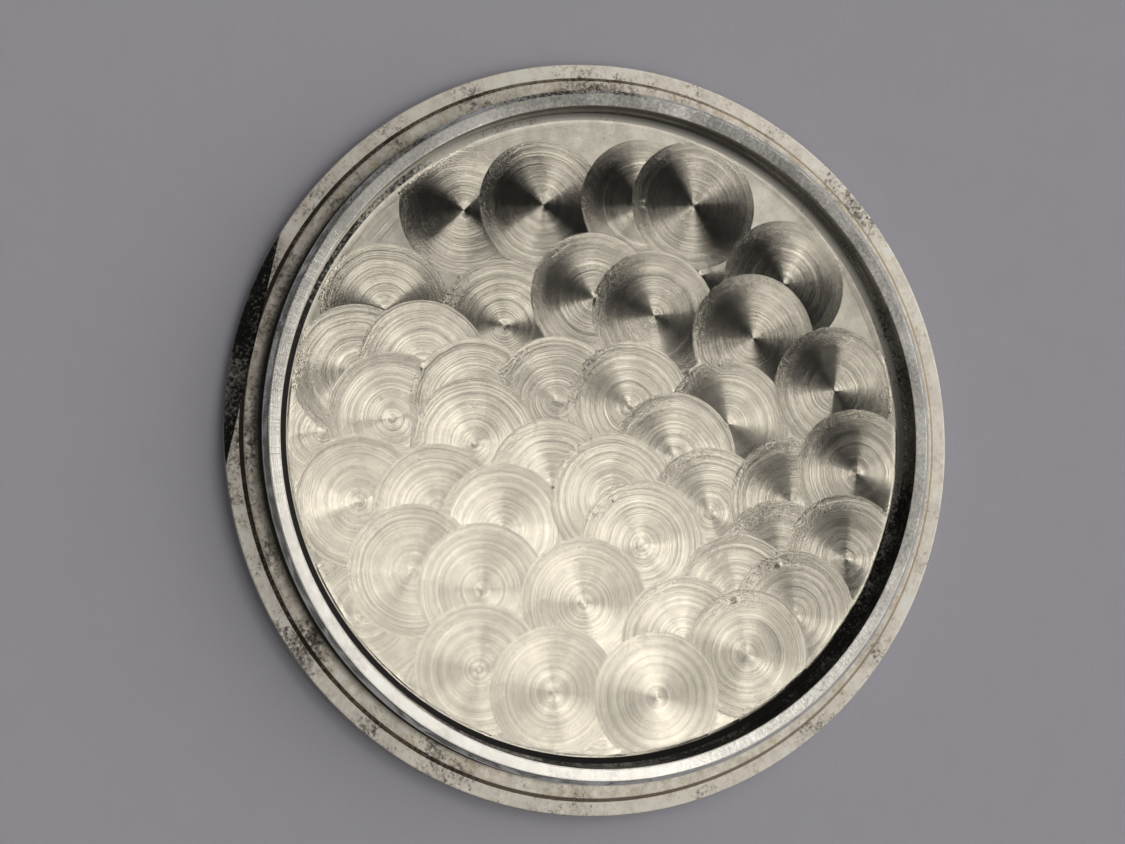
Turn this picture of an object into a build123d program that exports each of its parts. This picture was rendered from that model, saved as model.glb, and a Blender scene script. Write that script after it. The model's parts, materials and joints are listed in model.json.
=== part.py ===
from build123d import *
import os

# Snap-fit back of a small round wristwatch, in millimetres.
# Z points up, out of the open inner side. The origin is the middle of the flat outer face,
# and the notch for the opening knife is centred on the -Y side.

# Outer plate: a flat face, a long bevel up to a short upright edge, and the flat flange on top
OUTER_DIAMETER = 31.0
BEVEL_WIDTH = 1.9
BEVEL_HEIGHT = 0.35
EDGE_HEIGHT = 0.3
FLANGE_WIDTH = 0.57
FACE_ROUND = 0.6
EDGE_BREAK = 0.05

# Riser: the small step from the flange up to the shoulder that centres the back in the case
RISER_RUN = 0.155
RISER_HEIGHT = 0.14

# Snap rim: a thin wall on the shoulder with a bead round its outside and a groove under the bead
SHOULDER_WIDTH = 0.58
RIM_HEIGHT = 1.23
RIM_TOP_WIDTH = 0.49
BEAD_PROUD = 0.4
BEAD_LEAD_RUN = 0.19
BEAD_LEAD_DROP = 0.21
BEAD_LAND = 0.15
BEAD_FLANK_DROP = 0.3

# Inner side: the flat floor, its plain turned border and the round that runs up into the rim
FLOOR_THICKNESS = 0.97
FLOOR_FILLET = 0.55
BORDER_WIDTH = 0.16
BORDER_DEPTH = 0.02

# Knife notch: one sloping flat cut into the flange, from a straight chord out to the edge
NOTCH_REACH = 0.76
NOTCH_DEPTH = 0.24

# Sealing gasket: a rubber ring that lies on the shoulder, in the groove under the bead
GASKET_HEIGHT = 0.46
GASKET_PROUD = 0.02
GASKET_CLEARANCE = 0.02
GASKET_BREAK = 0.09

# How far a cutter runs past the faces that it cuts through
CUT_OVERRUN = 0.5

# Heights above the outer face
flange_top = BEVEL_HEIGHT + EDGE_HEIGHT
shoulder_top = flange_top + RISER_HEIGHT
rim_top = shoulder_top + RIM_HEIGHT
land_top = rim_top - BEAD_LEAD_DROP
land_foot = land_top - BEAD_LAND
groove_top = land_foot - BEAD_FLANK_DROP
border_floor = FLOOR_THICKNESS - BORDER_DEPTH

# Radii, from the edge inwards
outer_radius = OUTER_DIAMETER / 2
face_radius = outer_radius - BEVEL_WIDTH
riser_foot_radius = outer_radius - FLANGE_WIDTH
riser_top_radius = riser_foot_radius - RISER_RUN
bead_radius = riser_top_radius - SHOULDER_WIDTH
groove_radius = bead_radius - BEAD_PROUD
rim_outer_radius = bead_radius - BEAD_LEAD_RUN
rim_inner_radius = rim_outer_radius - RIM_TOP_WIDTH
border_radius = rim_inner_radius - FLOOR_FILLET - BORDER_WIDTH


def corner_at(section, radius, height):
    """Corner of a flat half section that lies nearest to a radius and a height."""
    return section.vertices().sort_by_distance(Vector(radius, 0, height))[0]


def body_section():
    """Half section of the turned body, out from the axis over the outer face and back over the floor."""
    outline = [
        (0, 0),
        (face_radius, 0),
        (outer_radius, BEVEL_HEIGHT),
        (outer_radius, flange_top),
        (riser_foot_radius, flange_top),
        (riser_top_radius, shoulder_top),
        (groove_radius, shoulder_top),
        (groove_radius, groove_top),
        (bead_radius, land_foot),
        (bead_radius, land_top),
        (rim_outer_radius, rim_top),
        (rim_inner_radius, rim_top),
        (rim_inner_radius, border_floor),
        (border_radius, border_floor),
        (border_radius, FLOOR_THICKNESS),
        (0, FLOOR_THICKNESS),
    ]
    section = Plane.XZ * make_face(Polyline(*outline, close=True))
    section = fillet(corner_at(section, face_radius, 0), FACE_ROUND)
    section = fillet(corner_at(section, rim_inner_radius, border_floor), FLOOR_FILLET)
    for height in (BEVEL_HEIGHT, flange_top):
        section = chamfer(corner_at(section, outer_radius, height), EDGE_BREAK)
    return section


def notch_cutter():
    """Wedge that lays the sloping flat of the knife notch into the flange."""
    chord = outer_radius - NOTCH_REACH
    past_edge = outer_radius + CUT_OVERRUN
    slope = NOTCH_DEPTH / NOTCH_REACH
    above = shoulder_top + CUT_OVERRUN
    wedge = [
        (-chord, flange_top),
        (-chord, above),
        (-past_edge, above),
        (-past_edge, flange_top - slope * (past_edge - chord)),
    ]
    side = Plane.YZ * make_face(Polyline(*wedge, close=True))
    half_length = (outer_radius**2 - chord**2) ** 0.5 + CUT_OVERRUN
    return extrude(side, amount=half_length, both=True)


def make_case_back():
    """Turned steel body with its knife notch."""
    turned = revolve(body_section(), Axis.Z)
    return turned - notch_cutter()


def make_sealing_gasket():
    """Rubber ring between the groove wall and the line of the bead."""
    inner_radius = groove_radius + GASKET_CLEARANCE
    ring_outer_radius = bead_radius + GASKET_PROUD
    width = ring_outer_radius - inner_radius
    middle = (inner_radius + ring_outer_radius) / 2
    section = Rectangle(width, GASKET_HEIGHT)
    section = chamfer(section.vertices(), GASKET_BREAK)
    placed = Plane.XZ * Pos(middle, shoulder_top + GASKET_HEIGHT / 2) * section
    return revolve(placed, Axis.Z)


os.makedirs("parts", exist_ok=True)
pieces = {
    "case_back": make_case_back(),
    "sealing_gasket": make_sealing_gasket(),
}
for name, shape in pieces.items():
    export_step(shape, f"parts/{name}.step")
    size = shape.bounding_box().size
    print(f"{name}: {shape.volume:.1f} mm3, {size.X:.2f} x {size.Y:.2f} x {size.Z:.2f} mm")
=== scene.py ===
"""Dressed model of the snap-fit back of a small round wristwatch, lying with its inner side up.

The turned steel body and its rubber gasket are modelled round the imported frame. They lie on a pale floor
under soft studio light.
"""
import json
import logging
import math
import random
from collections.abc import Callable
from dataclasses import dataclass, field
from enum import IntEnum

import bmesh
import bpy
from bpy.types import Collection, Material, Node, NodeSocket, Object, World
from mathutils import Matrix, Vector

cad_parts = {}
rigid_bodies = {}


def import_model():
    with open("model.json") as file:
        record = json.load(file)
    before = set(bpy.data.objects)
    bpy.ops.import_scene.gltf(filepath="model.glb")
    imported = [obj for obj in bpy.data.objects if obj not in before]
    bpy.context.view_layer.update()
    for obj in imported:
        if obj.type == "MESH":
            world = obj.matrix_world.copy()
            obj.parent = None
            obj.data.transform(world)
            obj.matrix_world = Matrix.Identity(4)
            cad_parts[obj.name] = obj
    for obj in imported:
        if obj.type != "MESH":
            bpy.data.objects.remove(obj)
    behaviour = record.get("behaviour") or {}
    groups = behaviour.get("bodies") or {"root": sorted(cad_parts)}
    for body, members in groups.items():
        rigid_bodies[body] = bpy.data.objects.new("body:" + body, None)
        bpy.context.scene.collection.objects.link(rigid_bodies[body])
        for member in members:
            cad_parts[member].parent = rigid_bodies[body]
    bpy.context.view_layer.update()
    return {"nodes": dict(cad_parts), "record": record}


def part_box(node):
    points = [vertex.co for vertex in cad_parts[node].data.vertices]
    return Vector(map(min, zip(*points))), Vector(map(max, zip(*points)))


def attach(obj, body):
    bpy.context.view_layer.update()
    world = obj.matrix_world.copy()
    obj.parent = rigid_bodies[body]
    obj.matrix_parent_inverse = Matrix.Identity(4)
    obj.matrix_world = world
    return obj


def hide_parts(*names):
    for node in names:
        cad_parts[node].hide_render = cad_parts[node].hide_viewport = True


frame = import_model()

log = logging.getLogger("case_back")

Colour = tuple[float, float, float]
Point = tuple[float, float]
Noise = tuple[float, ...]
Value = float | tuple[float, ...] | NodeSocket

MM = 0.001
GRAIN_MAP = "grain"

# Places closer together than this count as one
SAME_PLACE = 0.0005 * MM

# A face looks down or up where its normal's rise is under the first or over the second
LOOKS_DOWN = -0.5
LOOKS_UP = 0.9

# The picture's right is this far round the axis from +X, so that the knife notch lies at its left
PICTURE_TURN = math.radians(103.75)

UPWARD = (0.0, 0.0, 1.0)
LEVEL = (1.0, 1.0, 0.0)

# Noise textures: features per millimetre, number of finer layers and how strong these are. Noise lies about
# its middle and mostly in the middle half of its range, which the reach makes up for.
NOISE_MIDDLE = 0.5
NOISE_REACH = 2.0
WANDER_NOISE: Noise = (0.6, 1.0)
COARSE_NOISE: Noise = (2.5, 3.0, 0.6)
CHATTER_NOISE: Noise = (4.0, 2.0, 0.7)
FRAY_NOISE: Noise = (28.0, 1.0)
CLOUD_NOISE: Noise = (0.9, 8.0, 0.75)
BAND_NOISE: Noise = (4.0, 4.0, 0.75)
FILM_NOISE: Noise = (2.2, 7.0, 0.8)
MATT_NOISE: Noise = (3.0, 3.0)
PATCH_NOISE: Noise = (0.35, 3.0, 0.6)
SPECK_NOISE: Noise = (7.0, 4.0, 0.7)

# How far the ring marks wander, in millimetres, with the place and from mark to mark, and how often per mark
WANDER = 0.25
UNEVEN = 0.1
UNEVEN_RATE = 0.5

# A ring mark tips the surface one way and back, on its two slopes
MARK_SLOPES = 2.0

# Turns the place of a spot's middle into a number that makes its rings its own
SPOT_SEED = (7.3, 11.9, 0.0)

# How often chatter repeats round the axis, and how far chatter and fray raise their noise
CHATTER_COUNT = 60.0
CHATTER_GAIN = 8.0
FRAY_GAIN = 4.0

# A spot frays between these distances from its middle, in millimetres, and by this share inside them
FRAYED_EDGE = (1.7, 2.6)
FRAYED_MIDDLE = 0.08

# The brown film: its tint, and the level of noise at which it sets in and how gently
FILM_TINT = (0.70, 0.62, 0.52)
FILM_BAR = 0.62
FILM_SOFTNESS = 0.3

# Least and most roughness, as shares of a finish's own
MATT_RANGE = (0.85, 1.15)

# Grime, and the painted shade laid with it: how much metal it hides, how matt and how thick it is, how much
# its patches and specks count, and the level that they have to pass at no grime and how far this falls at
# full grime
GRIME_HIDES = 0.85
GRIME_MATT = 0.4
GRIME_DEPTH = 0.02 * MM
PATCH_SHARE = 0.6
SPECK_SHARE = 0.7
GRIME_BAR = 0.90
GRIME_RANGE = 0.5

FELT_TINT = (0.008, 0.008, 0.01, 1.0)


def from_picture(x: float, y: float, z: float = 0.0) -> Vector:
    """Turns a place to the picture's right and top into the part's own X and Y, and keeps its height."""
    return Matrix.Rotation(PICTURE_TURN, 3, "Z") @ Vector((x, y, z))


def on_circle(place: Vector, radius: float, height: float) -> bool:
    """Tells whether a place is on a circle round the axis."""
    return math.hypot(place.to_2d().length - radius, place.z - height) < SAME_PLACE


class Zone(IntEnum):
    """Faces of the steel body that have a finish of their own, in the order of its material slots."""

    OUTER_FACE = 0
    EDGE = 1
    FLANGE = 2
    RISER = 3
    SHOULDER = 4
    BEAD = 5
    RIM_TOP = 6
    INNER_WALL = 7
    WALL_FOOT = 8
    FLOOR = 9
    PEG_SPOTS = 10
    NOTCH = 11


class Bench:
    """The modelling operators, each on one mesh object whose parts are chosen by their place."""

    @staticmethod
    def clear() -> None:
        """Leaves nothing selected."""
        for thing in bpy.context.selected_objects:
            thing.select_set(False)

    @staticmethod
    def take(thing: Object) -> None:
        """Makes one object the only selected one and the active one.

        Args:
            thing: The object.
        """
        Bench.clear()
        thing.select_set(True)
        bpy.context.view_layer.objects.active = thing

    @staticmethod
    def edit(thing: Object) -> bmesh.types.BMesh:
        """Opens an object in edit mode with nothing selected.

        Args:
            thing: The object.

        Returns:
            Its edit mesh.
        """
        Bench.take(thing)
        bpy.ops.object.mode_set(mode="EDIT")
        bpy.ops.mesh.select_all(action="DESELECT")
        return bmesh.from_edit_mesh(thing.data)

    @staticmethod
    def choose(thing: Object, kind: str, test: Callable[..., bool]) -> None:
        """Opens an object in edit mode with only those of its parts chosen that pass a test.

        Args:
            thing: The object.
            kind: The kind of part: verts, edges or faces.
            test: Tells whether a part is chosen.
        """
        edit = Bench.edit(thing)
        for part in {"verts": edit.verts, "edges": edit.edges, "faces": edit.faces}[kind]:
            if test(part):
                part.select_set(True)
        if kind == "verts":
            edit.select_flush(True)
        bmesh.update_edit_mesh(thing.data)

    @staticmethod
    def leave() -> None:
        """Goes back to object mode."""
        bpy.ops.object.mode_set(mode="OBJECT")

    @staticmethod
    def carve(thing: Object, cutter: Object | Collection) -> None:
        """Cuts one closed object, or all those of a collection, out of another.

        Args:
            thing: The object that is cut.
            cutter: What is cut out of it.
        """
        modifier = thing.modifiers.new("cut", "BOOLEAN")
        modifier.operation = "DIFFERENCE"
        modifier.solver = "MANIFOLD"
        if isinstance(cutter, Collection):
            modifier.operand_type = "COLLECTION"
            modifier.collection = cutter
        else:
            modifier.object = cutter
        Bench.take(thing)
        bpy.ops.object.modifier_apply(modifier=modifier.name)

    @staticmethod
    def close_up(thing: Object) -> None:
        """Merges doubled corners and turns every face outwards.

        Args:
            thing: The closed object.
        """
        Bench.edit(thing)
        bpy.ops.mesh.select_all(action="SELECT")
        bpy.ops.mesh.remove_doubles(threshold=SAME_PLACE)
        bpy.ops.mesh.normals_make_consistent(inside=False)
        Bench.leave()

    @staticmethod
    def seal_ring(thing: Object, radius: float, height: float) -> None:
        """Merges the doubled corners on one circle round the axis, and no others.

        Args:
            thing: The object whose two shells meet there.
            radius: Radius of the circle.
            height: Height of the circle.
        """
        Bench.choose(thing, "verts", lambda vertex: on_circle(vertex.co, radius, height))
        bpy.ops.mesh.remove_doubles(threshold=SAME_PLACE)
        Bench.leave()

    @staticmethod
    def settle(thing: Object) -> None:
        """Puts an object's place and turn into its mesh, so that it sits unturned at the origin."""
        Bench.take(thing)
        bpy.ops.object.transform_apply(location=True, rotation=True, scale=True)

    @staticmethod
    def smooth(thing: Object, degrees: float) -> None:
        """Shades an object smooth, but for the edges that turn by more than an angle."""
        Bench.take(thing)
        bpy.ops.object.shade_smooth_by_angle(angle=math.radians(degrees))


@dataclass(frozen=True)
class Corner:
    """One corner of a turned half section.

    Attributes:
        radius: Distance from the axis.
        height: Height above the outer face.
        soften: How far the corner is broken back along both of its faces.
        steps: Number of segments across the broken corner.
    """

    radius: float
    height: float
    soften: float = 0.0
    steps: int = 2


@dataclass(frozen=True)
class Turning:
    """A lathe: turns a chain of corners about Z by drawing a circle out from corner to corner.

    Attributes:
        segments: Number of steps round the axis.
        guard: Distance of the extra ring that keeps a long face flat beside its corner.
        room: Least length of a face that gets such rings, in guard distances.
    """

    segments: int = 384
    guard: float = 0.06 * MM
    room: float = 4.0

    def with_guards(self, corners: list[Corner]) -> list[Corner]:
        """Adds a ring near both ends of each face that is long enough to need one.

        Args:
            corners: The chain of corners.

        Returns:
            The chain with its guard rings.
        """
        chain = [corners[0]]
        for start, end in zip(corners, corners[1:]):
            run = math.hypot(end.radius - start.radius, end.height - start.height)
            if run > self.room * self.guard + start.soften + end.soften:
                for inset in (start.soften + self.guard, run - (end.soften + self.guard)):
                    share = inset / run
                    radius = start.radius + share * (end.radius - start.radius)
                    height = start.height + share * (end.height - start.height)
                    chain.append(Corner(radius, height))
            chain.append(end)
        return chain

    def draw(self, name: str, corners: list[Corner], closed: bool) -> Object:
        """Draws the chain round the axis.

        Args:
            name: Name of the new object.
            corners: The chain, guard rings included.
            closed: Whether the chain comes back to its first corner.

        Returns:
            The turned shell, with open ends unless the chain is closed.
        """
        first = corners[0]
        Bench.clear()
        bpy.ops.mesh.primitive_circle_add(
            vertices=self.segments, radius=first.radius, fill_type="NOTHING", location=(0, 0, first.height)
        )
        shell = bpy.context.object
        shell.name = name
        Bench.settle(shell)
        Bench.edit(shell)
        bpy.ops.mesh.select_all(action="SELECT")
        chain = corners + [first] if closed else corners
        for before, after in zip(chain, chain[1:]):
            rise = (0, 0, after.height - before.height)
            bpy.ops.mesh.extrude_region_move(TRANSFORM_OT_translate={"value": rise})
            ratio = after.radius / before.radius
            bpy.ops.transform.resize(value=(ratio, ratio, 1), center_override=(0, 0, after.height))
        Bench.leave()
        return shell

    @staticmethod
    def soften(shell: Object, corners: list[Corner]) -> None:
        """Breaks the corners that ask for it.

        Args:
            shell: The turned shell.
            corners: Its corners.
        """
        for corner in corners:
            if corner.soften == 0.0:
                continue
            circle = (corner.radius, corner.height)
            Bench.choose(shell, "edges", lambda edge: all(on_circle(end.co, *circle) for end in edge.verts))
            bpy.ops.mesh.bevel(
                offset=corner.soften, offset_type="OFFSET", segments=corner.steps,
                affect="EDGES", clamp_overlap=False,
            )
            Bench.leave()


@dataclass(frozen=True)
class PegGrain:
    """Circular graining of the floor: overlapping round spots, each ground by the end of a turning peg.

    The spots are laid in rows, from the picture's top to its foot, and each row from left to right. Each spot
    leans a hair, so that it lies just below those laid before it. A few shallow ones come first, where the
    rows leave a gap.

    Attributes:
        radius: Radius of a spot.
        rings: Number of ring grooves from its edge to its middle.
        sides: Number of steps round a spot.
        groove: Depth of a ring groove.
        depth: Mean depth of a spot below the floor.
        peg_length: Length of a peg, in depths.
        lean: How much deeper a spot cuts per distance to the picture's right and foot.
        pip_radius: Radius of the dimple in the middle.
        pip_depth: Depth of the dimple.
        pip_step: Width of each of its two slopes, as a share of its radius.
        pip_end: Depth of the inner slope, as a share of the outer one's.
        patterns: Number of different ring patterns.
        rows: Middles of the spots, in millimetres to the picture's right and top, in working order.
        first_depth: Depth of the shallow spots that come first.
        first: Middles of the shallow spots.
        untouched: How far below the floor a face still counts as untouched, in groove depths.
    """

    radius: float = 2.7 * MM
    rings: int = 17
    sides: int = 56
    groove: float = 0.0005 * MM
    depth: float = 0.0085 * MM
    peg_length: float = 40.0
    lean: Point = (0.0009, 0.0022)
    pip_radius: float = 0.2 * MM
    pip_depth: float = 0.005 * MM
    pip_step: float = 0.4
    pip_end: float = 0.2
    patterns: int = 5
    rows: tuple[tuple[Point, ...], ...] = (
        ((-5.7, 9.2), (-2.35, 9.5), (2.0, 9.65), (4.2, 9.65)),
        ((-9.0, 5.1), (-4.1, 4.5), (-0.25, 5.7), (2.35, 5.0), (8.15, 6.4), (6.7, 4.1)),
        ((-10.2, 2.6), (-7.5, 2.8), (-5.4, 1.3), (-1.9, 1.4), (1.2, 1.2), (5.5, 0.5), (10.3, 1.9)),
        ((-8.8, 0.7), (-5.4, -0.3), (-2.2, -2.0), (0.4, -2.6), (3.1, -0.9), (8.2, -2.8), (11.2, -1.6)),
        ((-10.2, -2.6), (-7.0, -3.0), (-4.3, -3.8), (1.6, -4.5), (4.6, -3.2), (7.6, -5.4), (10.6, -5.2)),
        ((-8.05, -5.4), (-5.2, -6.2), (-0.95, -6.85), (3.3, -8.5), (5.7, -6.8), (8.2, -7.5)),
        ((-5.4, -9.4), (-2.3, -10.4), (2.1, -10.75), (6.1, -9.1)),
    )
    first_depth: float = 0.0016 * MM
    first: tuple[Point, ...] = (
        (-3.4, 7.0), (4.4, 6.7), (3.9, 2.5), (-11.6, 0.2),
        (-1.7, -4.2), (-10.0, -7.0), (-7.6, -9.9), (-0.3, -11.8), (4.7, -11.2),
    )
    untouched: float = 0.1

    def middles(self) -> list[tuple[Vector, bool]]:
        """Lists all the spots' middles in the part's frame, in working order, and which are shallow."""
        shallow = [(from_picture(x * MM, y * MM), True) for x, y in self.first]
        return shallow + [(from_picture(x * MM, y * MM), False) for row in self.rows for x, y in row]

    def slope(self) -> Vector:
        """Gives the rise of a spot's bottom along X and Y."""
        right, foot = self.lean
        return from_picture(right, -foot)

    def level(self, middle: Vector, shallow: bool, place: Vector) -> float:
        """Gives the height of one spot's bottom at a place, from the floor. The deepest spot shows."""
        return -self.first_depth if shallow else self.slope().dot(place - middle) - self.depth

    def owner(self, place: Vector, middles: list[tuple[Vector, bool]]) -> Vector | None:
        """Finds the spot that shows at a place.

        Args:
            place: The place on the floor.
            middles: All the spots' middles.

        Returns:
            The middle of that spot, or None where no spot was laid.
        """
        flat = Vector((place.x, place.y, 0.0))
        near = [spot for spot in middles if (flat - spot[0]).length < self.radius]
        return min(near, key=lambda spot: self.level(*spot, flat))[0] if near else None

    def model_peg(self, seed: int) -> Object:
        """Models the end of a peg with its ring pattern, standing on the origin.

        Args:
            seed: Number of the ring pattern.

        Returns:
            The closed peg.
        """
        chance = random.Random(seed)
        length = self.peg_length * self.depth
        Bench.clear()
        bpy.ops.mesh.primitive_cylinder_add(
            vertices=self.sides, radius=self.radius, depth=length, location=(0, 0, length / 2)
        )
        peg = bpy.context.object
        peg.name = f"peg_{seed}"
        Bench.settle(peg)
        Bench.choose(peg, "faces", lambda face: face.normal.z < LOOKS_DOWN)
        pitch = (self.radius - self.pip_radius) / self.rings
        level = 0.0
        for _ in range(self.rings):
            target = chance.uniform(-self.groove, self.groove)
            bpy.ops.mesh.inset(thickness=pitch, depth=target - level)
            level = target
        for depth in (self.pip_depth, self.pip_end * self.pip_depth):
            bpy.ops.mesh.inset(thickness=self.pip_step * self.pip_radius, depth=depth)
        Bench.leave()
        return peg

    def lay(self, plate: Object, surface: float) -> None:
        """Presses the pegs into a plate, one for each spot.

        Args:
            plate: The closed plate whose top is ground.
            surface: Height of that top.
        """
        patterns = [self.model_peg(seed) for seed in range(self.patterns)]
        rack = bpy.data.collections.new("pegs")
        slope = self.slope()
        tilt = Matrix.Rotation(-slope.x, 4, "Y") @ Matrix.Rotation(slope.y, 4, "X")
        for number, (middle, shallow) in enumerate(self.middles()):
            peg = patterns[number % self.patterns].copy()
            peg.data = peg.data.copy()
            depth = self.first_depth if shallow else self.depth
            stand = Matrix.Translation((middle.x, middle.y, surface - depth))
            peg.data.transform(stand if shallow else stand @ tilt)
            rack.objects.link(peg)
        Bench.carve(plate, rack)
        for peg in patterns + list(rack.objects):
            bpy.data.meshes.remove(peg.data)
        bpy.data.collections.remove(rack)


@dataclass
class CaseBack:
    """Turned steel body: outer plate, flange, riser, shoulder, snap rim and the grained floor.

    Attributes:
        outer_radius: Radius of the upright edge.
        bead_radius: Radius of the bead round the snap rim.
        rim_inner_radius: Radius of the rim's inner wall.
        rim_top: Height of the rim.
        clean_foot: How far out on to the round the plain floor's finish goes.
        dirt_and_shade_line: Width of the dark line outside it, dirt and painted shade at the wall's foot.
        inner_rings: Radii of two more rings on the outer face, as shares of its own.
        smooth_under: Angle in degrees under which an edge is shaded smooth.
    """

    outer_radius: float
    bead_radius: float
    rim_inner_radius: float
    rim_top: float
    name: str = "case_back_body"
    bevel_width: float = 1.9 * MM
    bevel_height: float = 0.35 * MM
    edge_height: float = 0.3 * MM
    flange_width: float = 0.57 * MM
    riser_run: float = 0.155 * MM
    riser_height: float = 0.14 * MM
    bead_proud: float = 0.4 * MM
    lead_run: float = 0.19 * MM
    lead_drop: float = 0.21 * MM
    land: float = 0.15 * MM
    flank_drop: float = 0.3 * MM
    floor: float = 0.97 * MM
    floor_round: float = 0.55 * MM
    border_width: float = 0.16 * MM
    border_depth: float = 0.02 * MM
    clean_foot: float = 0.13 * MM
    dirt_and_shade_line: float = 0.28 * MM
    face_break: float = 0.055 * MM
    edge_break: float = 0.035 * MM
    crisp_break: float = 0.018 * MM
    break_steps: int = 3
    round_steps: int = 12
    notch_reach: float = 0.76 * MM
    notch_depth: float = 0.24 * MM
    inner_rings: Point = (0.5, 0.05)
    smooth_under: float = 32.0
    lathe: Turning = field(default_factory=Turning)
    grain: PegGrain = field(default_factory=PegGrain)

    @classmethod
    def from_frame(cls) -> "CaseBack":
        """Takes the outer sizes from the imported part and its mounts.

        Returns:
            The body, not yet modelled.
        """
        mounts = {mount["name"]: mount for mount in frame["record"]["mounts"]}
        _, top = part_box("case_back")
        return cls(
            outer_radius=top.x,
            bead_radius=mounts["snap_rim"]["dims"]["r_mm"] * MM,
            rim_inner_radius=mounts["rim_bore"]["dims"]["r_mm"] * MM,
            rim_top=top.z,
        )

    @property
    def flange_top(self) -> float:
        """Height of the flange."""
        return self.bevel_height + self.edge_height

    @property
    def border_radius(self) -> float:
        """Radius at which the grained floor ends."""
        return self.rim_inner_radius - self.floor_round - self.border_width

    def section(self) -> list[tuple[Corner, Zone]]:
        """Lists the half section from the floor's border over the rim and round to the outer face.

        Returns:
            Each corner with the zone of the face that comes before it.
        """
        border = self.floor - self.border_depth
        shoulder = self.flange_top + self.riser_height
        riser_foot = self.outer_radius - self.flange_width
        land_top = self.rim_top - self.lead_drop
        land_foot = land_top - self.land
        groove = self.bead_radius - self.bead_proud
        face = self.outer_radius - self.bevel_width
        crisp, edge, steps = self.crisp_break, self.edge_break, self.break_steps
        return [
            (Corner(self.border_radius, border), Zone.INNER_WALL),
            (Corner(self.rim_inner_radius, border, self.floor_round, self.round_steps), Zone.INNER_WALL),
            (Corner(self.rim_inner_radius, self.rim_top, crisp), Zone.INNER_WALL),
            (Corner(self.bead_radius - self.lead_run, self.rim_top, crisp), Zone.RIM_TOP),
            (Corner(self.bead_radius, land_top, crisp), Zone.BEAD),
            (Corner(self.bead_radius, land_foot, crisp), Zone.BEAD),
            (Corner(groove, land_foot - self.flank_drop), Zone.BEAD),
            (Corner(groove, shoulder), Zone.BEAD),
            (Corner(riser_foot - self.riser_run, shoulder, crisp), Zone.SHOULDER),
            (Corner(riser_foot, self.flange_top), Zone.RISER),
            (Corner(self.outer_radius, self.flange_top, edge, steps), Zone.FLANGE),
            (Corner(self.outer_radius, self.bevel_height, edge, steps), Zone.EDGE),
            (Corner(face, 0.0, self.face_break, steps), Zone.OUTER_FACE),
            *((Corner(share * face, 0.0), Zone.OUTER_FACE) for share in self.inner_rings),
        ]

    def build(self) -> Object:
        """Models the body.

        Returns:
            The closed body with its zones set.
        """
        corners = [corner for corner, _ in self.section()]
        body = self.lathe.draw(self.name, self.lathe.with_guards(corners), closed=False)
        self.close_outer_face(body)
        Bench.close_up(body)
        self.lathe.soften(body, corners)
        plate = self.floor_plate()
        Bench.take(body)
        plate.select_set(True)
        bpy.ops.object.join()
        Bench.seal_ring(body, self.border_radius, self.floor - self.border_depth)
        self.cut_notch(body)
        body.data.materials.clear()
        self.mark_zones(body)
        self.mark_grain(body)
        Bench.smooth(body, self.smooth_under)
        return body

    @staticmethod
    def close_outer_face(body: Object) -> None:
        """Draws the last ring of the outer face together on the axis.

        Args:
            body: The turned shell, open there.
        """
        innermost = min(vertex.co.to_2d().length for vertex in body.data.vertices)
        Bench.choose(body, "verts", lambda vertex: vertex.co.to_2d().length < innermost + SAME_PLACE)
        bpy.ops.mesh.extrude_region_move(TRANSFORM_OT_translate={"value": (0, 0, 0)})
        bpy.ops.mesh.merge(type="CENTER")
        Bench.leave()

    def floor_plate(self) -> Object:
        """Models the raised floor with its grained top, open below.

        Returns:
            The plate, whose foot meets the border of the body.
        """
        foot = self.floor - self.border_depth
        Bench.clear()
        bpy.ops.mesh.primitive_cylinder_add(
            vertices=self.lathe.segments,
            radius=self.border_radius,
            depth=self.border_depth,
            location=(0, 0, (foot + self.floor) / 2),
        )
        plate = bpy.context.object
        Bench.settle(plate)
        self.grain.lay(plate, self.floor)
        Bench.choose(
            plate,
            "faces",
            lambda face: face.normal.z < LOOKS_DOWN and abs(face.calc_center_median().z - foot) < SAME_PLACE,
        )
        bpy.ops.mesh.delete(type="FACE")
        Bench.leave()
        return plate

    def cut_notch(self, body: Object) -> None:
        """Cuts the sloping flat of the knife notch into the flange, on the -Y side.

        Args:
            body: The closed body.
        """
        chord = self.outer_radius - self.notch_reach
        slope = self.notch_depth / self.notch_reach
        past = 2 * self.notch_reach
        Bench.clear()
        bpy.ops.mesh.primitive_cube_add(size=1.0)
        wedge = bpy.context.object
        half_length = math.sqrt(self.outer_radius**2 - chord**2) + self.notch_reach
        bpy.ops.transform.resize(value=(2 * half_length, past, past))
        bpy.ops.transform.translate(value=(0, -chord - past / 2, self.flange_top + past / 2))
        Bench.settle(wedge)
        outside, low = -chord - SAME_PLACE, self.flange_top + SAME_PLACE
        Bench.choose(wedge, "verts", lambda vertex: vertex.co.y < outside and vertex.co.z < low)
        bpy.ops.transform.translate(value=(0, 0, -slope * past))
        Bench.leave()
        Bench.close_up(wedge)
        Bench.carve(body, wedge)
        bpy.data.meshes.remove(wedge.data)

    def in_notch(self, place: Vector) -> bool:
        """Tells whether a place lies on the flat of the knife notch.

        Args:
            place: Middle of a face.

        Returns:
            Whether the face is one of the notch's.
        """
        outward = -place.y - (self.outer_radius - self.notch_reach)
        flat = self.flange_top - outward * self.notch_depth / self.notch_reach
        return outward > -SAME_PLACE and (abs(place.z - flat) < SAME_PLACE or outward < SAME_PLACE)

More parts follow.
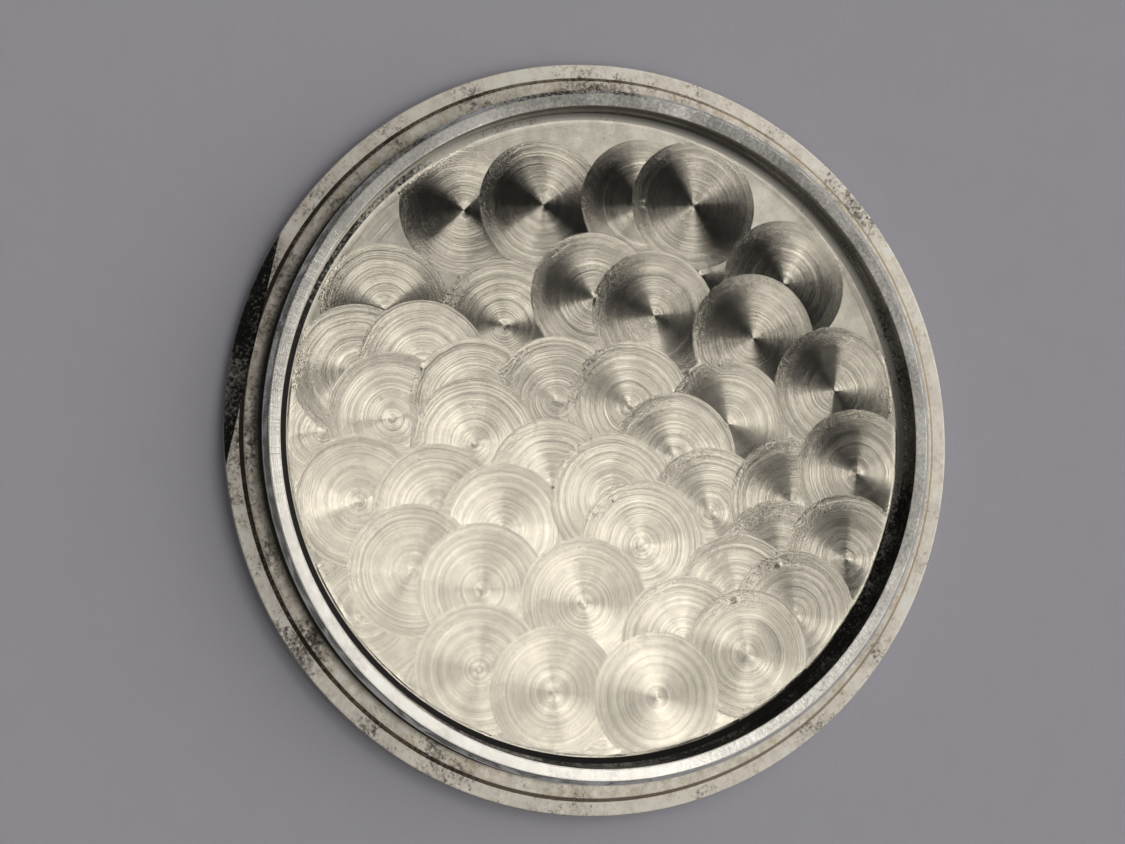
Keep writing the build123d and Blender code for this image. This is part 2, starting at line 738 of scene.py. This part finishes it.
    def mark_zones(self, body: Object) -> None:
        """Gives every face the material slot of its zone.

        Args:
            body: The finished body.
        """
        section = self.section()
        clean_to = self.border_radius + self.border_width + self.clean_foot
        known: dict[tuple[int, int], Zone] = {}
        for face in body.data.polygons:
            radius, height = face.center.to_2d().length, face.center.z
            key = (round(radius / SAME_PLACE), round(height / SAME_PLACE))
            if radius < self.border_radius and height > self.floor - self.border_depth:
                zone = Zone.FLOOR
            elif key in known:
                zone = known[key]
            else:
                zone = known[key] = self.nearest_zone(section, Vector((radius, height)))
            if self.in_notch(face.center):
                zone = Zone.NOTCH
            elif zone == Zone.INNER_WALL and radius < clean_to:
                zone = Zone.FLOOR
            # Beyond it, a line at the wall's foot gets the dark finish of dirt and painted shade.
            elif zone == Zone.INNER_WALL and radius < clean_to + self.dirt_and_shade_line:
                zone = Zone.WALL_FOOT
            face.material_index = zone

    @staticmethod
    def nearest_zone(section: list[tuple[Corner, Zone]], place: Vector) -> Zone:
        """Finds the face of the half section that a place lies nearest to.

        Args:
            section: The half section.
            place: Radius and height of the place.

        Returns:
            That face's zone.
        """
        best, found = math.inf, Zone.OUTER_FACE
        for (start, _), (end, zone) in zip(section, section[1:]):
            a, b = Vector((start.radius, start.height)), Vector((end.radius, end.height))
            share = max(0.0, min(1.0, (place - a).dot(b - a) / (b - a).length_squared))
            away = (place - a.lerp(b, share)).length
            if away < best:
                best, found = away, zone
        return found

    def mark_grain(self, body: Object) -> None:
        """Writes where each grained face lies from the middle of its spot, in millimetres, as a UV map.

        Args:
            body: The finished body, with its zones set.
        """
        middles = self.grain.middles()
        grain_map = body.data.uv_layers.new(name=GRAIN_MAP)
        top = self.floor - self.grain.untouched * self.grain.groove
        for face in body.data.polygons:
            if face.material_index != Zone.FLOOR or face.normal.z < LOOKS_UP or face.center.z > top:
                continue
            middle = self.grain.owner(face.center, middles)
            if middle is None:
                continue
            face.material_index = Zone.PEG_SPOTS
            for loop in face.loop_indices:
                corner = body.data.vertices[body.data.loops[loop].vertex_index].co
                grain_map.data[loop].uv = (corner - middle).to_2d() / MM


@dataclass
class SealingGasket:
    """Rubber ring that lies on the shoulder, in the groove under the bead.

    Attributes:
        inner_radius: Radius of its bore.
        outer_radius: Radius of its outside.
        foot: Height of its underside.
        top: Height of its top.
    """

    inner_radius: float
    outer_radius: float
    foot: float
    top: float
    name: str = "sealing_gasket_ring"
    corner_round: float = 0.15 * MM
    round_steps: int = 6
    smooth_under: float = 40.0
    lathe: Turning = field(default_factory=Turning)

    @classmethod
    def from_frame(cls) -> "SealingGasket":
        """Takes the ring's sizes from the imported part.

        Returns:
            The ring, not yet modelled.
        """
        low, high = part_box("sealing_gasket")
        node = frame["nodes"]["sealing_gasket"]
        inner = min(vertex.co.to_2d().length for vertex in node.data.vertices)
        return cls(inner_radius=inner, outer_radius=high.x, foot=low.z, top=high.z)

    def build(self) -> Object:
        """Models the ring with its rounded section.

        Returns:
            The closed ring.
        """
        corners = [
            Corner(radius, height, self.corner_round, self.round_steps)
            for radius, height in (
                (self.inner_radius, self.foot),
                (self.outer_radius, self.foot),
                (self.outer_radius, self.top),
                (self.inner_radius, self.top),
            )
        ]
        ring = self.lathe.draw(self.name, corners, closed=True)
        Bench.close_up(ring)
        self.lathe.soften(ring, corners)
        Bench.close_up(ring)
        Bench.smooth(ring, self.smooth_under)
        return ring


class Graph:
    """Shader nodes of one material or world, laid by short calls that return sockets."""

    def __init__(self, owner: Material | World) -> None:
        """Starts an empty node tree.

        Args:
            owner: The material or world that the nodes are of.
        """
        owner.use_nodes = True
        self.owner = owner
        self.tree = owner.node_tree
        self.tree.nodes.clear()

    @classmethod
    def named(cls, name: str) -> "Graph":
        """Starts a new material."""
        return cls(bpy.data.materials.new(name))

    def node(self, kind: str, inputs: dict[str | int, Value], **settings: object) -> Node:
        """Adds a node.

        Args:
            kind: Type of the node.
            inputs: Values or sockets by the input's name or number.
            **settings: Options of the node.

        Returns:
            The node.
        """
        made = self.tree.nodes.new(kind)
        for name, value in settings.items():
            setattr(made, name, value)
        for name, value in inputs.items():
            if isinstance(value, NodeSocket):
                self.tree.links.new(value, made.inputs[name])
            else:
                made.inputs[name].default_value = value
        return made

    def math(self, operation: str, *values: Value, clamp: bool = False) -> NodeSocket:
        """Works out a number, such as ADD or MULTIPLY of the values."""
        inputs = dict(enumerate(values))
        return self.node("ShaderNodeMath", inputs, operation=operation, use_clamp=clamp).outputs[0]

    def vector(self, operation: str, *values: Value) -> NodeSocket:
        """Works out a vector, such as CROSS_PRODUCT of the values."""
        return self.node("ShaderNodeVectorMath", dict(enumerate(values)), operation=operation).outputs[0]

    def number(self, operation: str, *values: Value) -> NodeSocket:
        """Works out a number from vectors, such as LENGTH or DOT_PRODUCT."""
        made = self.node("ShaderNodeVectorMath", dict(enumerate(values)), operation=operation)
        return made.outputs["Value"]

    def scaled(self, value: Value, factor: Value) -> NodeSocket:
        """Scales a vector by a number."""
        return self.node("ShaderNodeVectorMath", {0: value, "Scale": factor}, operation="SCALE").outputs[0]

    def noise(self, place: Value, scale: float, detail: float = 2.0, rough: float = 0.5) -> NodeSocket:
        """Gives cloudy noise in space."""
        inputs = {"Vector": place, "Scale": scale, "Detail": detail, "Roughness": rough}
        return self.node("ShaderNodeTexNoise", inputs, noise_dimensions="3D").outputs[0]

    def line_noise(self, along: Value, scale: float, detail: float = 2.0, rough: float = 0.5) -> NodeSocket:
        """Gives noise that changes along one number only."""
        inputs = {"W": along, "Scale": scale, "Detail": detail, "Roughness": rough}
        return self.node("ShaderNodeTexNoise", inputs, noise_dimensions="1D").outputs[0]

    def centred(self, noise: Value) -> NodeSocket:
        """Shifts noise so that it lies about zero."""
        return self.math("SUBTRACT", noise, NOISE_MIDDLE)

    def varied(self, noise: Value, share: float) -> NodeSocket:
        """Turns noise into a factor that strays from 1 by about a share."""
        return self.spread(noise, 1.0 - NOISE_REACH * share, 1.0 + NOISE_REACH * share)

    def step(self, value: Value, low: float, high: float) -> NodeSocket:
        """Runs smoothly from 0 to 1 as a value goes from low to high."""
        inputs = {"Value": value, "From Min": low, "From Max": high, "To Min": 0.0, "To Max": 1.0}
        return self.node("ShaderNodeMapRange", inputs, interpolation_type="SMOOTHSTEP").outputs[0]

    def spread(self, value: Value, low: float, high: float) -> NodeSocket:
        """Carries a value of 0 to 1 over to the range from low to high."""
        inputs = {"Value": value, "From Min": 0.0, "From Max": 1.0, "To Min": low, "To Max": high}
        return self.node("ShaderNodeMapRange", inputs, clamp=False).outputs[0]

    def blend(self, share: Value, first: Value, second: Value) -> NodeSocket:
        """Mixes two colours.

        Args:
            share: Share of the second.
            first: The first colour.
            second: The second colour.

        Returns:
            The mixed colour.
        """
        made = self.node("ShaderNodeMix", {0: share}, data_type="RGBA")
        for socket, value in ((made.inputs[6], first), (made.inputs[7], second)):
            if isinstance(value, NodeSocket):
                self.tree.links.new(value, socket)
            else:
                socket.default_value = (*value, 1.0)
        return made.outputs[2]

    def bumped(self, height: Value, strength: float, depth: float, **more: Value) -> NodeSocket:
        """Gives the normal of a surface that a height bumps."""
        inputs = {"Strength": strength, "Distance": depth, "Height": height, **more}
        return self.node("ShaderNodeBump", inputs).outputs[0]

    def place(self) -> NodeSocket:
        """Gives the place on the piece in millimetres."""
        return self.scaled(self.node("ShaderNodeTexCoord", {}).outputs["Object"], 1.0 / MM)

    def shine(self, inputs: dict[str | int, Value]) -> Material:
        """Ends the material with a Principled shader.

        Args:
            inputs: The shader's values or sockets by name.

        Returns:
            The material.
        """
        shader = self.node("ShaderNodeBsdfPrincipled", inputs)
        output = self.node("ShaderNodeOutputMaterial", {})
        self.tree.links.new(shader.outputs[0], output.inputs["Surface"])
        return self.owner


@dataclass(frozen=True)
class SteelFinish:
    """Bright steel that a tool has left with fine ring marks, and the grime of years on it, with painted
    shade and painted light in some zones.

    Attributes:
        name: Name of the material.
        tint: Colour of the clean metal, set brighter than the steel's own in some zones as painted light.
        roughness: How matt the metal is.
        stretch: How far its shine runs across the marks.
        marks: How steeply the fine ring marks tip the surface.
        pitch: Fine ring marks per millimetre.
        rings: How steeply the coarser rings among them tip it.
        chatter: How steeply marks that run outwards tip the surface.
        cloud: How unevenly bright the metal is.
        banding: How unevenly bright it is from ring to ring.
        grime: Share of the surface under grime, which is partly painted shade on the rim top, inner wall and
            wall foot.
        grime_and_shade_side: How much more grime lies on one side, which is the notch's unless an angle is
            given; on the bead, rim top, inner wall and wall foot this one-sided part is painted shade.
        grime_and_shade_angle: Where that side is, in degrees round the axis from the picture's right.
        grime_and_shade_soft: How gently the grime fades out, from specks to a haze; the haze on the rim top
            is painted shade.
        grime_and_shade_tint: Colour of the grime, which is also the colour of the painted shade where a
            finish has some.
        film: Share of the surface under a thin brown film.
        pitting: How deep the specks of grime lie.
        fray: How steeply fine scratches tip a spot's edge along its rings.
        pegged: Whether the rings run round the middles of the floor's spots and not round the axis.
    """

    name: str
    tint: Colour = (0.61, 0.585, 0.535)
    roughness: float = 0.3
    stretch: float = 0.7
    marks: float = 0.05
    pitch: float = 12.0
    rings: float = 0.02
    chatter: float = 0.0
    cloud: float = 0.1
    banding: float = 0.0
    grime: float = 0.0
    grime_and_shade_side: float = 0.0
    grime_and_shade_angle: float = 166.25
    grime_and_shade_soft: float = 0.25
    grime_and_shade_tint: Colour = (0.055, 0.042, 0.03)
    film: float = 0.0
    pitting: float = 0.2
    fray: float = 0.0
    pegged: bool = False

    def radial(self, graph: Graph, place: Value) -> tuple[NodeSocket, NodeSocket]:
        """Finds how a place lies to the rings.

        Args:
            graph: The material's nodes.
            place: The place on the piece.

        Returns:
            The way out from the middle of the rings, and the number that the rings follow.
        """
        flat = graph.vector("MULTIPLY", place, LEVEL)
        if not self.pegged:
            height = graph.number("DOT_PRODUCT", place, UPWARD)
            return flat, graph.math("ADD", graph.number("LENGTH", flat), height)
        offset = graph.node("ShaderNodeUVMap", {}, uv_map=GRAIN_MAP).outputs[0]
        seed = graph.number("DOT_PRODUCT", graph.vector("SUBTRACT", flat, offset), SPOT_SEED)
        return offset, graph.math("ADD", graph.number("LENGTH", offset), seed)

    def tipped(self, graph: Graph, place: Value, outward: Value, along: Value) -> tuple[Value, Value]:
        """Tips the surface by its ring marks, chatter and scratches.

        Args:
            graph: The material's nodes.
            place: The place on the piece.
            outward: The way out from the middle of the rings.
            along: The number that the rings follow.

        Returns:
            The tipped normal, and the direction across the marks.
        """
        normal = graph.node("ShaderNodeNewGeometry", {}).outputs["Normal"]
        ring = graph.vector("NORMALIZE", graph.vector("CROSS_PRODUCT", UPWARD, outward))
        across = graph.vector("NORMALIZE", graph.vector("CROSS_PRODUCT", ring, normal))
        wander = graph.math("MULTIPLY_ADD", graph.noise(place, *WANDER_NOISE), WANDER, along)
        shift = graph.line_noise(wander, UNEVEN_RATE * self.pitch)
        uneven = graph.math("MULTIPLY_ADD", shift, UNEVEN, wander)
        grooves = graph.math("PINGPONG", graph.math("MULTIPLY", uneven, MARK_SLOPES * self.pitch), 1.0)
        tip = graph.math("MULTIPLY_ADD", grooves, MARK_SLOPES * self.marks, -self.marks)
        coarse = graph.centred(graph.line_noise(wander, *COARSE_NOISE))
        tip = graph.math("MULTIPLY_ADD", coarse, NOISE_REACH * self.rings, tip)
        total = graph.vector("ADD", normal, graph.scaled(across, tip))
        if self.chatter:
            turn = graph.scaled(graph.vector("NORMALIZE", outward), CHATTER_COUNT)
            knock = graph.centred(graph.noise(turn, *CHATTER_NOISE))
            amount = graph.math("MULTIPLY", knock, CHATTER_GAIN * self.chatter)
            total = graph.vector("ADD", total, graph.scaled(ring, amount))
        if self.fray:
            edge = graph.step(graph.number("LENGTH", outward), *FRAYED_EDGE)
            share = graph.math("MULTIPLY_ADD", edge, 1.0 - FRAYED_MIDDLE, FRAYED_MIDDLE)
            scratch = graph.math("MULTIPLY", graph.centred(graph.noise(place, *FRAY_NOISE)), share)
            amount = graph.math("MULTIPLY", scratch, FRAY_GAIN * self.fray)
            total = graph.vector("ADD", total, graph.scaled(ring, amount))
        return graph.vector("NORMALIZE", total), across

    def make(self) -> Material:
        """Builds the finish.

        Returns:
            The material.
        """
        graph = Graph.named(self.name)
        place = graph.place()
        outward, along = self.radial(graph, place)
        normal, across = self.tipped(graph, place, outward, along)
        # This share is grime, and on the bead, rim top, inner wall and wall foot also painted shade.
        grime = self.grime_and_shade_mask(graph, place)
        metal = graph.scaled(self.tint, graph.varied(graph.noise(place, *CLOUD_NOISE), self.cloud))
        if self.banding:
            metal = graph.scaled(metal, graph.varied(graph.line_noise(along, *BAND_NOISE), self.banding))
        if self.film:
            bar = FILM_BAR - self.film
            film = graph.step(graph.noise(place, *FILM_NOISE), bar, bar + FILM_SOFTNESS)
            metal = graph.blend(film, metal, graph.vector("MULTIPLY", metal, FILM_TINT))
        least, most = (part * self.roughness for part in MATT_RANGE)
        uneven = graph.spread(graph.noise(place, *MATT_NOISE), least, most)
        pits = graph.math("MULTIPLY", grime, -1.0)
        inputs = {
            "Base Color": graph.blend(grime, metal, self.grime_and_shade_tint),
            "Metallic": graph.math("SUBTRACT", 1.0, graph.math("MULTIPLY", grime, GRIME_HIDES)),
            "Roughness": graph.math("ADD", uneven, graph.math("MULTIPLY", grime, GRIME_MATT), clamp=True),
            "Anisotropic": self.stretch,
            "Tangent": across,
            "Normal": graph.bumped(pits, self.pitting, GRIME_DEPTH, Normal=normal),
        }
        return graph.shine(inputs)

    def grime_and_shade_mask(self, graph: Graph, place: Value) -> NodeSocket:
        """Spreads the grime, in specks that gather in patches, and the painted shade that some finishes add
        on one side.

        Args:
            graph: The material's nodes.
            place: The place on the piece.

        Returns:
            The share of grime and painted shade there.
        """
        patches = graph.math("MULTIPLY", graph.noise(place, *PATCH_NOISE), PATCH_SHARE)
        specks = graph.math("MULTIPLY", graph.noise(place, *SPECK_NOISE), SPECK_SHARE)
        level = graph.math("ADD", patches, specks)
        # More on one side: real grime on the flange, riser and shoulder, painted shade on the bead, rim top,
        # inner wall and wall foot.
        if self.grime_and_shade_side:
            angle = math.radians(self.grime_and_shade_angle)
            way = tuple(from_picture(math.cos(angle), math.sin(angle)))
            side = graph.number("DOT_PRODUCT", graph.vector("NORMALIZE", place), way)
            level = graph.math("MULTIPLY_ADD", side, self.grime_and_shade_side, level)
        bar = GRIME_BAR - GRIME_RANGE * self.grime
        return graph.step(level, bar, bar + self.grime_and_shade_soft)


@dataclass(frozen=True)
class RubberFinish:
    """Aged black rubber with a faint dusty bloom, bumped by fine grit."""

    name: str = "aged_rubber"
    tint: Colour = (0.012, 0.012, 0.013)
    bloom: Colour = (0.04, 0.038, 0.035)
    bloom_noise: Noise = (3.0, 4.0, 0.65)
    bloom_range: Point = (0.45, 0.75)
    roughness: float = 0.45
    bloom_matt: float = 0.25
    grit_noise: Noise = (25.0, 2.0)
    grit: float = 0.3
    grit_depth: float = 0.01 * MM

    def make(self) -> Material:
        """Builds the finish.

        Returns:
            The material.
        """
        graph = Graph.named(self.name)
        place = graph.place()
        dust = graph.step(graph.noise(place, *self.bloom_noise), *self.bloom_range)
        inputs = {
            "Base Color": graph.blend(dust, self.tint, self.bloom),
            "Roughness": graph.spread(dust, self.roughness, self.roughness + self.bloom_matt),
            "Normal": graph.bumped(graph.noise(place, *self.grit_noise), self.grit, self.grit_depth),
        }
        return graph.shine(inputs)


# Tints above the steel's own 0.61 are painted light: the flange, shoulder, bead, rim top and plain floor are
# lit copies of the one steel.
FINISHES: dict[Zone, SteelFinish] = {
    Zone.OUTER_FACE: SteelFinish("outer_face_steel", roughness=0.32, marks=0.02, pitch=6.0, grime=0.1),
    Zone.EDGE: SteelFinish("edge_steel", roughness=0.35, marks=0.04, grime=0.2),
    Zone.FLANGE: SteelFinish(
        "flange_steel", tint=(0.97, 0.92, 0.84), roughness=0.5, stretch=0.4, cloud=0.25,
        grime=0.5, grime_and_shade_side=0.04, film=0.14,
    ),
    Zone.RISER: SteelFinish(
        "riser_steel", roughness=0.5, stretch=0.3,
        grime=0.65, grime_and_shade_side=0.2, grime_and_shade_tint=(0.07, 0.05, 0.035), film=0.4,
    ),
    Zone.SHOULDER: SteelFinish(
        "shoulder_steel", tint=(0.82, 0.79, 0.72), roughness=0.36, stretch=0.3, cloud=0.3,
        grime=0.5, grime_and_shade_side=0.06, grime_and_shade_tint=(0.10, 0.075, 0.055), film=0.24,
    ),
    # On the bead, the extra grime on one side is painted shade, a painted dark reflection over a little real
    # grime.
    Zone.BEAD: SteelFinish(
        "bead_steel", tint=(0.90, 0.90, 0.86), roughness=0.24, marks=0.12, chatter=0.01, cloud=0.2,
        grime=0.3, grime_and_shade_side=0.2, grime_and_shade_angle=105.0,
    ),
    # On the rim top, the grey haze of grime, heavier on one side, is painted shade as much as dirt.
    Zone.RIM_TOP: SteelFinish(
        "rim_steel", tint=(0.97, 0.95, 0.90), roughness=0.24, marks=0.03, chatter=0.012, cloud=0.2,
        grime=0.9, grime_and_shade_side=0.25, grime_and_shade_angle=52.0, grime_and_shade_soft=0.8, grime_and_shade_tint=(0.20, 0.20, 0.195),
        film=0.08, pitting=0.02,
    ),
    # On the inner wall, the near-black grime, heavier on one side, is painted shade as much as dirt: a
    # painted dark reflection.
    Zone.INNER_WALL: SteelFinish(
        "inner_wall_steel", tint=(0.61, 0.59, 0.55), roughness=0.16, marks=0.02, chatter=0.015,
        grime=0.75, grime_and_shade_side=0.25, grime_and_shade_angle=300.0, grime_and_shade_soft=0.4, grime_and_shade_tint=(0.012, 0.011, 0.01),
        pitting=0.0,
    ),
    # At the wall's foot, the near-black line, heavier on one side, is painted shade in the corner as much as
    # dirt.
    Zone.WALL_FOOT: SteelFinish(
        "wall_foot_steel", roughness=0.4, stretch=0.2,
        grime=0.95, grime_and_shade_side=0.35, grime_and_shade_angle=240.0, grime_and_shade_tint=(0.012, 0.011, 0.01), pitting=0.0,
    ),
    Zone.FLOOR: SteelFinish(
        "plain_floor_steel", tint=(0.80, 0.76, 0.67), roughness=0.32, stretch=0.3, marks=0.08,
        cloud=0.35, grime=0.2,
    ),
    Zone.PEG_SPOTS: SteelFinish(
        "peg_ground_steel", tint=(0.64, 0.603, 0.52), roughness=0.1, stretch=1.0, marks=0.081, pitch=80.0,
        rings=0.025, cloud=0.18, banding=0.18, grime=0.1, fray=0.06, pegged=True,
    ),
    Zone.NOTCH: SteelFinish(
        "notch_steel", roughness=0.6, stretch=0.0, marks=0.02, grime=0.95, grime_and_shade_tint=(0.01, 0.01, 0.01)
    ),
}


@dataclass(frozen=True)
class Panel:
    """A flat panel over the part: a soft box that glows, or a dark flag.

    Attributes:
        name: Name of the panel.
        aim: Its middle as seen from the part, in rise to the picture's right and top per height.
        spread: Its length and width, in the same measure.
        turn: Angle of its length from the picture's right, in degrees.
        height: Its height over the part.
        glow: Brightness of its face, where 1 shows as white and 0 is a dark flag.
        tint: Colour of its light.
    """

    name: str
    aim: Point
    spread: Point
    turn: float = 0.0
    height: float = 1.6
    glow: float = 0.0
    tint: Colour = (1.0, 0.97, 0.92)

    def hang(self) -> None:
        """Adds the panel to the scene, level over the part and out of the camera's sight."""
        across, along = (self.height * part for part in self.spread)
        if self.glow:
            light = bpy.data.lights.new(self.name, "AREA")
            light.shape = "RECTANGLE"
            light.size, light.size_y = across, along
            light.energy = self.glow * math.pi * across * along
            light.color = self.tint
            panel = bpy.data.objects.new(self.name, light)
            bpy.context.scene.collection.objects.link(panel)
        else:
            Bench.clear()
            bpy.ops.mesh.primitive_plane_add(size=1.0)
            panel = bpy.context.object
            panel.name = self.name
            panel.scale = (across, along, 1.0)
            felt = Graph.named(f"{self.name}_felt")
            panel.data.materials.append(felt.shine({"Base Color": FELT_TINT, "Roughness": 1.0}))
        panel.location = from_picture(*self.aim, 1.0) * self.height
        panel.rotation_euler = (0.0, 0.0, PICTURE_TURN + math.radians(self.turn))
        panel.visible_camera = False


PANELS = (
    Panel("near_box", aim=(0.299, -0.061), spread=(0.15, 0.382), turn=16.6, glow=0.26),
    Panel("strip_box", aim=(0.175, 0.062), spread=(0.368, 0.098), turn=-1.2, height=1.61, glow=1.07),
    Panel("column_box", aim=(0.379, -0.226), spread=(0.079, 0.524), turn=10.4, height=1.62, glow=0.73),
    Panel("upper_box", aim=(0.448, 0.38), spread=(0.195, 0.246), turn=40.4, height=1.63, glow=1.85),
    Panel("band_flag", aim=(0.063, 0.199), spread=(0.55, 0.284), turn=40.9, height=1.40),
    Panel("right_flag", aim=(0.366, 0.212), spread=(0.247, 0.235), turn=10.2, height=1.41),
    Panel("low_flag", aim=(0.50, 0.064), spread=(0.189, 0.294), turn=-3.3, height=1.42),
    Panel("left_flag", aim=(-0.70, 0.36), spread=(1.5, 1.10), height=1.43),
)


@dataclass
class Studio:
    """Plain pale floor, soft light and the camera of the picture.

    Attributes:
        floor_opening: Radius of the floor's opening, just inside the corner of the outer face.
        floor_dark: Brightness of its darker mottles, as a share.
        sky_top: How much brighter the light all round is straight above.
        sky_rise: How much brighter it is on one side.
        sky_side: That side, to the picture's right and top.
        sky_focus: How closely the brighter light keeps to the top and to the side.
        seen_tint: Colour that the camera sees beyond the floor.
        camera_at: Place of the camera, in millimetres in picture directions.
    """

    floor_radius: float = 0.7
    floor_opening: float = 13.45 * MM
    floor_sides: int = 192
    floor_tint: Colour = (0.68, 0.68, 0.77)
    floor_dark: float = 0.93
    floor_matt: float = 0.8
    mottle_noise: Noise = (0.5, 5.0, 0.7)
    grit_noise: Noise = (3.0, 3.0)
    grit: float = 0.08
    grit_depth: float = 0.1 * MM
    sky_tint: Colour = (0.98, 0.95, 0.90)
    sky_level: float = 0.05
    sky_top: float = 0.7
    sky_rise: float = 1.6
    sky_side: Point = (0.97, 0.24)
    sky_focus: Point = (4.0, 2.0)
    seen_tint: Colour = (1.0, 1.0, 1.04)
    seen_level: float = 0.24
    lens: float = 77.7
    clip: Point = (0.005, 10.0)
    camera_at: tuple[float, float, float] = (-29.62, -6.40, 95.95)
    camera_aim: tuple[float, float, float] = (-1.61, 0.59, 0.65)

    def build(self) -> None:
        """Sets up everything round the part."""
        self.lay_floor()
        self.light_world()
        for panel in PANELS:
            panel.hang()
        self.place_camera()
        bpy.context.scene.view_settings.view_transform = "Standard"

    def lay_floor(self) -> None:
        """Lays the floor, left open under the flat of the outer face so that this can be seen from below."""
        edges = [Corner(self.floor_opening, 0.0), Corner(self.floor_radius, 0.0)]
        floor = Turning(segments=self.floor_sides).draw("studio_floor", edges, closed=False)
        graph = Graph.named("pale_floor")
        place = graph.place()
        dark = tuple(self.floor_dark * part for part in self.floor_tint)
        inputs = {
            "Base Color": graph.blend(graph.noise(place, *self.mottle_noise), dark, self.floor_tint),
            "Roughness": self.floor_matt,
            "Normal": graph.bumped(graph.noise(place, *self.grit_noise), self.grit, self.grit_depth),
        }
        floor.data.materials.append(graph.shine(inputs))

    def light_world(self) -> None:
        """Makes the soft light all round, brighter on one side, which the camera sees as more floor."""
        world = bpy.data.worlds.new("soft_room")
        bpy.context.scene.world = world
        graph = Graph(world)
        way = graph.node("ShaderNodeTexCoord", {}).outputs["Generated"]
        to_top, to_side = self.sky_focus
        top = graph.math("POWER", graph.number("DOT_PRODUCT", way, UPWARD), to_top)
        level = graph.math("MULTIPLY_ADD", top, self.sky_top, self.sky_level)
        side = graph.number("DOT_PRODUCT", way, tuple(from_picture(*self.sky_side)))
        side = graph.math("POWER", graph.math("MAXIMUM", side, 0.0), to_side)
        level = graph.math("MULTIPLY_ADD", side, self.sky_rise, level)
        light = graph.node("ShaderNodeBackground", {0: (*self.sky_tint, 1.0), 1: level}).outputs[0]
        seen = graph.node("ShaderNodeBackground", {0: (*self.seen_tint, 1.0), 1: self.seen_level}).outputs[0]
        camera = graph.node("ShaderNodeLightPath", {}).outputs["Is Camera Ray"]
        mixed = graph.node("ShaderNodeMixShader", {0: camera, 1: light, 2: seen}).outputs[0]
        graph.node("ShaderNodeOutputWorld", {0: mixed})

    def place_camera(self) -> None:
        """Places the camera where the picture was taken from."""
        eye = bpy.data.cameras.new("picture_camera")
        eye.lens = self.lens
        eye.clip_start, eye.clip_end = self.clip
        camera = bpy.data.objects.new("picture_camera", eye)
        bpy.context.scene.collection.objects.link(camera)
        place = from_picture(*self.camera_at) * MM
        look = (from_picture(*self.camera_aim) * MM - place).normalized()
        picture_right = from_picture(1.0, 0.0)
        right = (picture_right - look * picture_right.dot(look)).normalized()
        camera.rotation_mode = "QUATERNION"
        camera.rotation_quaternion = Matrix((right, right.cross(look), -look)).transposed().to_quaternion()
        camera.location = place
        bpy.context.scene.camera = camera


def main() -> None:
    """Builds the dressed part and the studio round it."""
    logging.basicConfig(level=logging.INFO, format="%(message)s")
    body = CaseBack.from_frame().build()
    for zone in Zone:
        body.data.materials.append(FINISHES[zone].make())
    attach(body, "back")
    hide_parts("case_back")
    log.info("%s: %d faces", body.name, len(body.data.polygons))
    ring = SealingGasket.from_frame().build()
    ring.data.materials.append(RubberFinish().make())
    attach(ring, "gasket")
    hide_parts("sealing_gasket")
    log.info("%s: %d faces", ring.name, len(ring.data.polygons))
    Studio().build()


if __name__ == "__main__":
    main()
